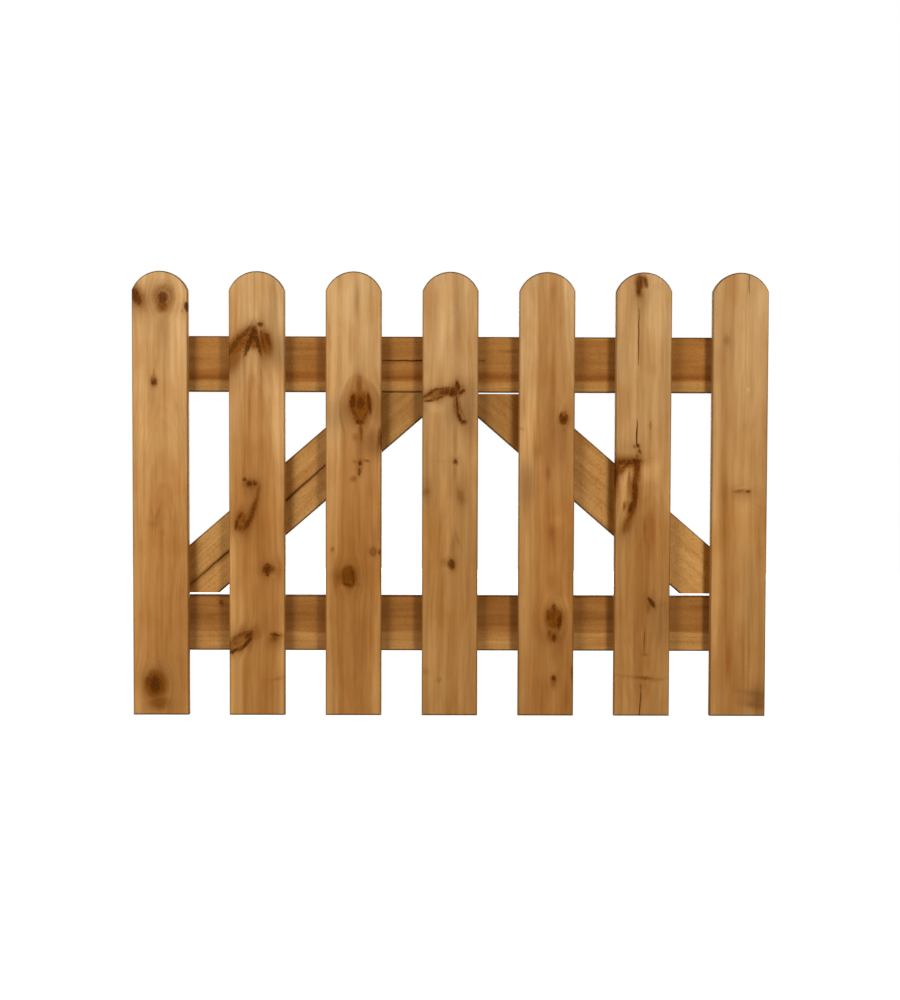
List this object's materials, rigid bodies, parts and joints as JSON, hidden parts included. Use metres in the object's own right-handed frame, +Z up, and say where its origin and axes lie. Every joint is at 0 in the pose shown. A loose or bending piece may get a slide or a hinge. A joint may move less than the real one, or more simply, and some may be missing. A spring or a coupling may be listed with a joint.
{
  "type": "wooden garden gate",
  "caption": "Low garden gate leaf of round-topped pales on an upper and a lower rail, with diagonal braces behind that lean together at the top middle.",
  "frame": {"origin": "seat of the lower hinge: the back face of the lower rail, halfway up the rail and in line with the middle of the first pale on the hinge side", "axes": "+X across the gate from the hinge side to the latch side, +Y out of the back of the gate, +Z up; the pales face -Y"},
  "size_m": [1, 0.036, 0.7],
  "materials": {
    "pales": "matte",
    "rails": "matte",
    "braces": "matte",
    "nails": "satin"
  },
  "bodies": {
    "root": {"pale_1": "pales", "pale_2": "pales", "pale_3": "pales", "pale_4": "pales", "pale_5": "pales", "pale_6": "pales", "pale_7": "pales", "lower_rail": "rails", "upper_rail": "rails", "left_brace": "braces", "right_brace": "braces"}
  },
  "joints": []
}
